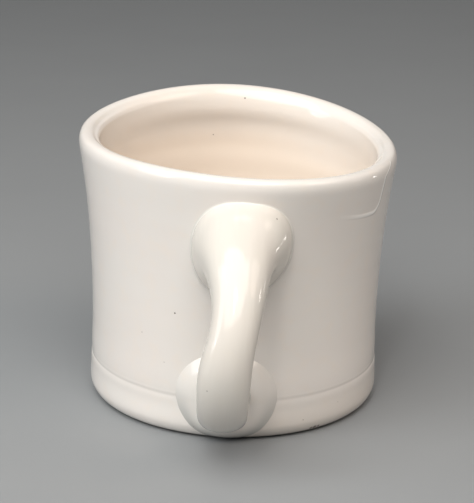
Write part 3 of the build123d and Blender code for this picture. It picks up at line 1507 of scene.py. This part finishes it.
@dataclass
class Seam:
    """A thin fillet of slip wiped round the place where two pieces of clay join.

    Lengths are in millimetres. The skirt and the hollow are shares of the fillet's width.
    """

    name: str
    node: str
    width: float
    stem_radius: float
    sides: int = 96
    hidden: float = 0.8
    sink: float = 0.05
    search: float = 1.6
    passes: int = 5
    probe: float = 0.3
    skirt: float = 1.6
    hollow: float = 0.27
    sharpest: float = 60.0
    uneven: tuple[Lobes, ...] = (Lobes(3, 0.12, 10.9), Lobes(7, 0.06, 12.86))

    def build(self, ground: Surface, stem: Surface) -> bpy.types.Object:
        """Lays the fillet round a stem that stands on the ground.

        Args:
            ground: the skin that the stem stands on.
            stem: the skin of the stem.

        Returns:
            The piece.
        """
        middle = NodeBox.of(self.node).centre
        start = self.stem_radius * self.search
        sections = []
        for side in range(self.sides):
            turn = 2 * math.pi * side / self.sides
            outward = Vector((math.cos(turn), 0, math.sin(turn)))
            reach = self.stem_radius
            for _ in range(self.passes):
                spot = middle + outward * reach
                level = ground.front(spot.x, spot.z)
                centre = Vector((middle.x, level - self.probe, middle.z))
                reach = stem.side(centre, outward, start)
            width = self.width * float(1 + sum(lobes.at(turn) for lobes in self.uneven))
            corner = Vector((middle.x, level, middle.z)) + outward * reach
            skirt = corner + outward * width * self.skirt
            skirt.y = ground.front(skirt.x, skirt.z) + self.sink
            foot = corner + outward * width
            foot.y = ground.front(foot.x, foot.z)
            high = Vector((middle.x, level - width, middle.z))
            top = high + outward * stem.side(high, outward, start)
            higher = Vector((middle.x, level - width * self.skirt, middle.z))
            collar = higher + outward * (stem.side(higher, outward, start) - self.sink)
            hollow = corner + (foot - corner + top - corner) * self.hollow
            inner = corner - outward * self.hidden + Vector((0, self.hidden, 0))
            sections.append((skirt, foot, hollow, top, collar, inner))
        piece = Sleeve(self.name, list(zip(*sections)), hollow=True).piece
        subdivide(piece, 2)
        smooth(piece, self.sharpest)
        return piece


# ---------------------------------------------------------------- studio


@dataclass(frozen=True)
class SoftBox:
    """A soft rectangular lamp aimed at the mug, in metres, degrees and watts."""

    name: str
    azimuth: float
    elevation: float
    distance: float
    width: float
    height: float
    power: float
    colour: Colour = (1.0, 0.97, 0.93)

    def hang(self, target: Vector) -> None:
        """Hangs the lamp.

        Args:
            target: what it points at.
        """
        azimuth, elevation = math.radians(self.azimuth), math.radians(self.elevation)
        away = Vector(
            (
                math.sin(azimuth) * math.cos(elevation),
                -math.cos(azimuth) * math.cos(elevation),
                math.sin(elevation),
            )
        )
        lamp = bpy.data.lights.new(self.name, "AREA")
        lamp.shape = "ELLIPSE"
        lamp.size, lamp.size_y = self.width, self.height
        lamp.energy = self.power
        lamp.color = self.colour
        holder = bpy.data.objects.new(self.name, lamp)
        bpy.context.collection.objects.link(holder)
        holder.location = target + away * self.distance
        holder.rotation_euler = away.to_track_quat("Z", "Y").to_euler()


@dataclass
class Studio:
    """The pale floor, the soft lamps and the camera."""

    lamps: tuple[SoftBox, ...] = (
        SoftBox("overhead", -18.0, 56.0, 1.0, 1.25, 1.1, 12.8),
        SoftBox("window", -10.0, 44.0, 1.2, 0.12, 0.30, 1.3),
        SoftBox("left_strip", -66.0, 26.0, 0.9, 0.4, 0.7, 2.4, (0.94, 0.97, 1.0)),
        SoftBox("left_gap", -58.0, 13.0, 1.0, 0.04, 0.10, 0.22),
        SoftBox("right_lamp", 92.0, 9.0, 1.0, 0.07, 0.12, 0.3, (1.0, 0.92, 0.84)),
        SoftBox("right_gap", 111.0, -2.0, 0.8, 0.05, 0.03, 0.085, (1.0, 0.95, 0.9)),
        SoftBox("right_fill", 66.0, 42.0, 1.2, 0.6, 0.6, 2.7, (1.0, 0.82, 0.69)),
        SoftBox("back_lamp", 176.0, 12.0, 1.2, 0.8, 0.4, 0.3),
    )
    world: Colour = (0.10, 0.105, 0.11)
    target: Vector = field(default_factory=lambda: Vector((0.0, 0.0, 0.045)))
    camera_target: Vector = field(default_factory=lambda: Vector((0.00036, 0.0, 0.04592)))
    camera_distance: float = 0.5791
    camera_elevation: float = 18.35
    camera_roll: float = 1.56
    lens: float = 128.75
    floor_size: float = 4.0

    def lay_floor(self) -> None:
        """Lays the floor that the mug stands on."""
        bpy.ops.object.select_all(action="DESELECT")
        bpy.ops.mesh.primitive_plane_add(size=self.floor_size)
        floor = bpy.context.object
        floor.name = "floor"
        floor.data.materials.append(Paper("pale_paper").mix())

    def light(self) -> None:
        """Hangs the lamps and sets the dim room round them."""
        for lamp in self.lamps:
            lamp.hang(self.target)
        room = bpy.data.worlds.new("room")
        room.use_nodes = True
        sky = room.node_tree.nodes["Background"]
        sky.inputs["Color"].default_value = (*self.world, 1)
        sky.inputs["Strength"].default_value = 1.0
        bpy.context.scene.world = room
        bpy.context.scene.view_settings.view_transform = "Standard"

    def place_camera(self) -> None:
        """Puts the camera in front of the handle, looking down at the mug."""
        camera = bpy.data.cameras.new("camera")
        camera.lens = self.lens
        camera.clip_start, camera.clip_end = 0.02, 20.0
        holder = bpy.data.objects.new("camera", camera)
        bpy.context.collection.objects.link(holder)
        down = math.radians(self.camera_elevation)
        away = Vector((0, -math.cos(down), math.sin(down)))
        tilt = Matrix.Rotation(math.pi / 2 - down, 4, "X")
        roll = Matrix.Rotation(math.radians(self.camera_roll), 4, "Z")
        holder.matrix_world = (
            Matrix.Translation(self.camera_target + away * self.camera_distance) @ tilt @ roll
        )
        bpy.context.scene.camera = holder


# ---------------------------------------------------------------- assembly


def hand_over(piece: bpy.types.Object, node: str, finish: bpy.types.Material) -> None:
    """Scales a finished piece to metres, glazes it and gives it its node's place in the frame.

    Args:
        piece: the piece, in millimetres.
        node: the node of the design that it stands for.
        finish: the piece's material.
    """
    pick(piece)
    piece.scale = (MM, MM, MM)
    bpy.ops.object.transform_apply(location=False, rotation=False, scale=True)
    piece.data.materials.clear()
    piece.data.materials.append(finish)
    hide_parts(node)
    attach(piece, BODY)
    log.info("%s stands for %s: %d faces", piece.name, node, len(piece.data.polygons))


def main() -> None:
    """Builds the mug in order, then the studio."""
    logging.basicConfig(level=logging.INFO, format="%(message)s", stream=sys.stdout)
    cup = Cup()
    zones = cup.build()
    ring = FootRing().build()
    lower_pad = LowerPad()
    pad = lower_pad.build(cup.skin)
    handle = Handle()
    strap = handle.build(cup.skin, lower_pad.skin)
    root_seam = Seam("root_slip", "root_seam", 0.55, 15.0).build(cup.skin, handle.skin)
    tail_seam = Seam("tail_slip", "tail_seam", 0.3, 7.0).build(lower_pad.skin, handle.skin)

    warm_bounce = WarmBounce(WAIST_RADIUS - cup.wall_thickness / 2)
    body_glaze = Glaze("body_glaze", warm_bounce=warm_bounce, line=HighlightLine(), low_right_shade=LowRightShade()).mix()
    # painted shade is centred on the pad: grey round its lower edge and low on the handle
    shade_centre = (lower_pad.box.centre.x, lower_pad.box.centre.z)
    pad_glaze = Glaze("pad_glaze", PAD_WHITE, wave=0.035, painted_shade=PaintedShade(shade_centre)).mix()
    # painted shade: the handle's glaze is a darker copy of the body's, and darker towards its
    # bottom
    handle_glaze = Glaze(
        "handle_glaze", HANDLE_SHADED_WHITE, HANDLE_SHADED_CREAM, HANDLE_SHADED_BLUSH, wave=0.035,
        pull=0.12, fine_specks=None, specks=HANDLE_SPECKS,
        painted_shade=PaintedShade(shade_centre, low_shade=0.28), shine=0.42,
    ).mix()
    root_glaze = Glaze("root_seam_glaze", *[ROOT_SLIP] * 3, wave=0.02).mix()
    # painted shade: the tail's fillet is coloured dark for the contact shade in the join
    tail_shade_glaze = Glaze("tail_seam_shade_glaze", *[TAIL_SEAM_SHADE] * 3, wave=0.02).mix()
    for zone, piece in zones.items():
        hand_over(piece, zone.node, body_glaze)
    hand_over(ring, "foot_ring", BareClay("bare_clay").mix())
    hand_over(pad, "lower_pad", pad_glaze)
    hand_over(strap, "handle", handle_glaze)
    hand_over(root_seam, "root_seam", root_glaze)
    hand_over(tail_seam, "tail_seam", tail_shade_glaze)

    studio = Studio()
    studio.lay_floor()
    studio.light()
    studio.place_camera()


if __name__ == "__main__":
    main()
